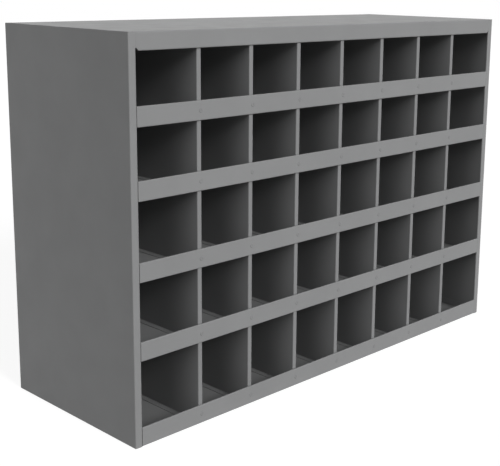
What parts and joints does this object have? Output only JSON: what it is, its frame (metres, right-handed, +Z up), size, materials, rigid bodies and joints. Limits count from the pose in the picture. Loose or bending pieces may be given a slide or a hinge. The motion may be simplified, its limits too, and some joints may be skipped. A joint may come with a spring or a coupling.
{
  "type": "pigeonhole mail sorter",
  "caption": "Open-fronted grey steel pigeonhole case: lipped shelves and upright sheet dividers make rows of compartments, taller towards the bottom, for sorting mail or small goods.",
  "frame": {"origin": "centre of the base, on the surface the case stands on", "axes": "+X to the right seen from the open front, +Y towards the back panel, +Z up"},
  "size_m": [0.8572, 0.3048, 0.5842],
  "materials": {
    "case_enamel": "grey baked enamel, satin, light orange peel",
    "divider_enamel": "grey baked enamel, satin, slightly duller than the case"
  },
  "bodies": {
    "root": {"left_side_panel": "case_enamel", "right_side_panel": "case_enamel", "top_panel": "case_enamel", "bottom_panel": "case_enamel", "back_panel": "case_enamel", "shelf_1": "case_enamel", "shelf_2": "case_enamel", "shelf_3": "case_enamel", "shelf_4": "case_enamel", "divider_row1_1": "divider_enamel", "divider_row1_2": "divider_enamel", "divider_row1_3": "divider_enamel", "divider_row1_4": "divider_enamel", "divider_row1_5": "divider_enamel", "divider_row1_6": "divider_enamel", "divider_row1_7": "divider_enamel", "divider_row2_1": "divider_enamel", "divider_row2_2": "divider_enamel", "divider_row2_3": "divider_enamel", "divider_row2_4": "divider_enamel", "divider_row2_5": "divider_enamel", "divider_row2_6": "divider_enamel", "divider_row2_7": "divider_enamel", "divider_row3_1": "divider_enamel", "divider_row3_2": "divider_enamel", "divider_row3_3": "divider_enamel", "divider_row3_4": "divider_enamel", "divider_row3_5": "divider_enamel", "divider_row3_6": "divider_enamel", "divider_row3_7": "divider_enamel", "divider_row4_1": "divider_enamel", "divider_row4_2": "divider_enamel", "divider_row4_3": "divider_enamel", "divider_row4_4": "divider_enamel", "divider_row4_5": "divider_enamel", "divider_row4_6": "divider_enamel", "divider_row4_7": "divider_enamel", "divider_row5_1": "divider_enamel", "divider_row5_2": "divider_enamel", "divider_row5_3": "divider_enamel", "divider_row5_4": "divider_enamel", "divider_row5_5": "divider_enamel", "divider_row5_6": "divider_enamel", "divider_row5_7": "divider_enamel"}
  },
  "joints": []
}
